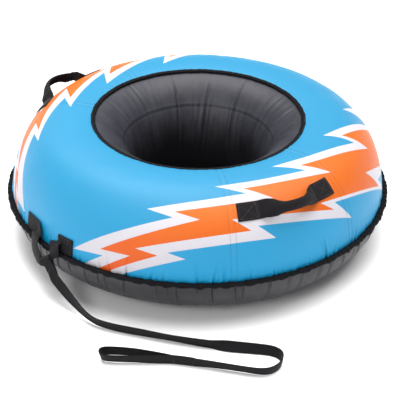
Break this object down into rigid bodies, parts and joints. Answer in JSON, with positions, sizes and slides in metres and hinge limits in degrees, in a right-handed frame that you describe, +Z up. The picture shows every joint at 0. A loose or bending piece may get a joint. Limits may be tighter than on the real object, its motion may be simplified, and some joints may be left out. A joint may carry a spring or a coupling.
{
  "type": "towable tube",
  "caption": "Round inflatable water-sports tube in a sewn, printed fabric cover, with webbing handles, a tow loop and a tow strap that ends in a hand loop.",
  "frame": {"origin": "middle of the flat base, where the tube rests", "axes": "+Z up through the middle of the ring; -Y the direction of tow, with the tow loop on that side; +X to the right-hand handle"},
  "size_m": [1.2537, 1.2338, 0.3624],
  "materials": {
    "cover_nylon": "printed coated nylon",
    "base_vinyl": "smooth vinyl-coated fabric",
    "webbing": "matte woven",
    "binding_tape": "matte woven",
    "black_rubber": "matte",
    "brass": "satin",
    "spring_steel": "satin",
    "cap_plastic": "matte"
  },
  "bodies": {
    "tube": {"inner_tube": "black_rubber", "valve_base": "black_rubber", "valve_stem": "brass", "valve_core": "brass", "valve_spring": "spring_steel", "top_cover": "cover_nylon", "bottom_cover": "base_vinyl", "reinforcement_strip_1": "webbing", "reinforcement_strip_2": "webbing", "reinforcement_strip_3": "webbing", "reinforcement_strip_4": "webbing", "seam_band": "binding_tape", "rim_binding": "binding_tape", "right_handle_front_tab": "webbing", "right_handle_rear_tab": "webbing", "left_handle_front_tab": "webbing", "left_handle_rear_tab": "webbing", "tow_loop_left_tab": "webbing", "tow_loop_right_tab": "webbing", "tow_strap": "webbing", "strap_lap": "webbing", "hand_loop": "webbing"},
    "right_handle": {"right_handle_grip": "webbing"},
    "left_handle": {"left_handle_grip": "webbing"},
    "tow_loop": {"tow_loop": "webbing", "strap_eye": "webbing"},
    "valve_cap": {"valve_cap": "cap_plastic"},
    "valve_pin": {"valve_pin": "brass"}
  },
  "joints": [
    {"name": "right_handle_hinge", "type": "hinge", "parent": "tube", "child": "right_handle", "pos_m": [0.46298, -0.11543, 0.3229], "axis": [0.2419, 0.9703, 0], "range_deg": [-50, 28]},
    {"name": "left_handle_hinge", "type": "hinge", "parent": "tube", "child": "left_handle", "pos_m": [-0.46298, -0.11543, 0.3229], "axis": [-0.2419, 0.9703, 0], "range_deg": [-28, 50]},
    {"name": "tow_loop_hinge", "type": "hinge", "parent": "tube", "child": "tow_loop", "pos_m": [-0.04506, -0.5481, 0.166], "axis": [-0.9966, 0.0819, 0], "range_deg": [0, 75]},
    {"name": "valve_cap_slide", "type": "slide", "parent": "tube", "child": "valve_cap", "axis": [0, 1, 0], "range_m": [0, 0.018]},
    {"name": "valve_pin_slide", "type": "slide", "parent": "tube", "child": "valve_pin", "axis": [0, -1, 0], "range_m": [0, 0.0015], "stiffness_N_per_m": 200, "springref_m": -0.002}
  ]
}
